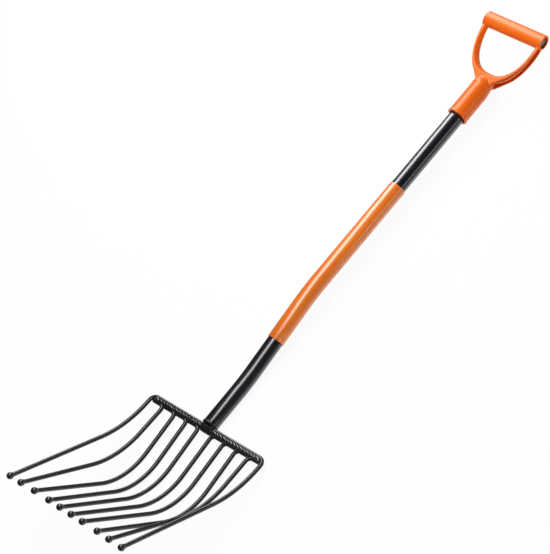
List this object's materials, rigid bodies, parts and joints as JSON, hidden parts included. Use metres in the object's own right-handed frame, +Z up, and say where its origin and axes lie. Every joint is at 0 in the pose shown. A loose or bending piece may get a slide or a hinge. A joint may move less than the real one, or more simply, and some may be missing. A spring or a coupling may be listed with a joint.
{
  "type": "potato fork",
  "caption": "Potato fork with ball-tipped bent tines on a crossbar, a jogged tube shaft with a plastic sleeve and a D handle.",
  "frame": {"origin": "centre of the fork's box, on the floor it lies on", "axes": "+Z up with the fork lying on its back, +Y from the tine tips to the D handle, +X across the tines"},
  "size_m": [0.2792, 1.156, 0.1688],
  "materials": {
    "black_gloss": "glossy",
    "black_rod": "satin",
    "black_ball": "satin",
    "weld_black": "matte",
    "orange_plastic": "satin",
    "grey_core": "matte"
  },
  "bodies": {
    "root": {"outer_rod": "black_rod", "tine_5": "black_rod", "tine_6": "black_rod", "tine_4": "black_rod", "tine_7": "black_rod", "tine_3": "black_rod", "tine_8": "black_rod", "tine_2": "black_rod", "tine_9": "black_rod", "tip_ball_1": "black_ball", "tip_ball_2": "black_ball", "tip_ball_3": "black_ball", "tip_ball_4": "black_ball", "tip_ball_5": "black_ball", "tip_ball_6": "black_ball", "tip_ball_7": "black_ball", "tip_ball_8": "black_ball", "tip_ball_9": "black_ball", "tip_ball_10": "black_ball", "shaft_tube": "black_gloss", "shaft_sleeve": "orange_plastic", "shaft_tongue": "weld_black", "weld_bead_left": "weld_black", "weld_bead_right": "weld_black", "shaft_weld": "weld_black", "d_handle": "orange_plastic", "grip_core": "grey_core"}
  },
  "joints": []
}
